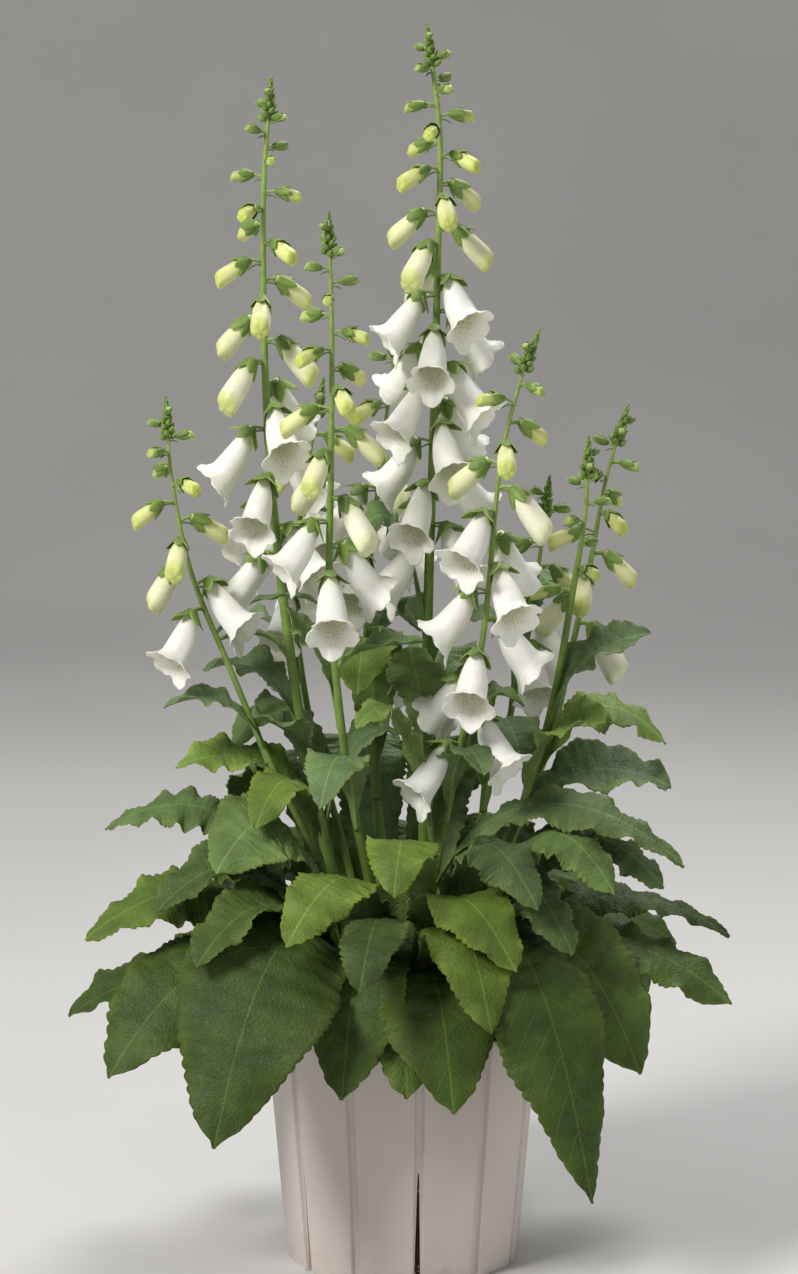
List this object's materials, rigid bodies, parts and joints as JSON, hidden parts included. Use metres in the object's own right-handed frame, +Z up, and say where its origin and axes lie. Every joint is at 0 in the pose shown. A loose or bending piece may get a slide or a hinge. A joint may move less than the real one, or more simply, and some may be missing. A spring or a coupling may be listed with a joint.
{
  "type": "white foxglove in flower, in a slatted pot",
  "caption": "White foxglove plant in a tapered twelve-sided pot: leafy flowering stems with hanging bells rise from a rosette of broad leaves.",
  "frame": {"origin": "centre of the pot's foot, on the surface that the pot stands on", "axes": "+Z up along the pot's axis, -Y towards the front of the plant, +X to the right seen from the front"},
  "size_m": [0.5037, 0.4096, 0.9345],
  "materials": {
    "white_plastic": "satin moulded plastic",
    "potting_soil": "damp crumbly soil",
    "leafy_green": "soft hairy leaf",
    "flowering_stem": "soft hairy stem with white bells"
  },
  "bodies": {
    "root": {"pot": "white_plastic", "potting_soil": "potting_soil", "lower_leaves": "leafy_green", "stem_left_low": "flowering_stem", "stem_left_tall": "flowering_stem", "stem_left_front": "flowering_stem", "stem_centre_tall": "flowering_stem", "stem_right_front": "flowering_stem", "stem_right_low": "flowering_stem", "stem_right_outer": "flowering_stem", "stem_centre_back": "flowering_stem", "stem_right_back": "flowering_stem", "stem_left_back": "flowering_stem"}
  },
  "joints": []
}
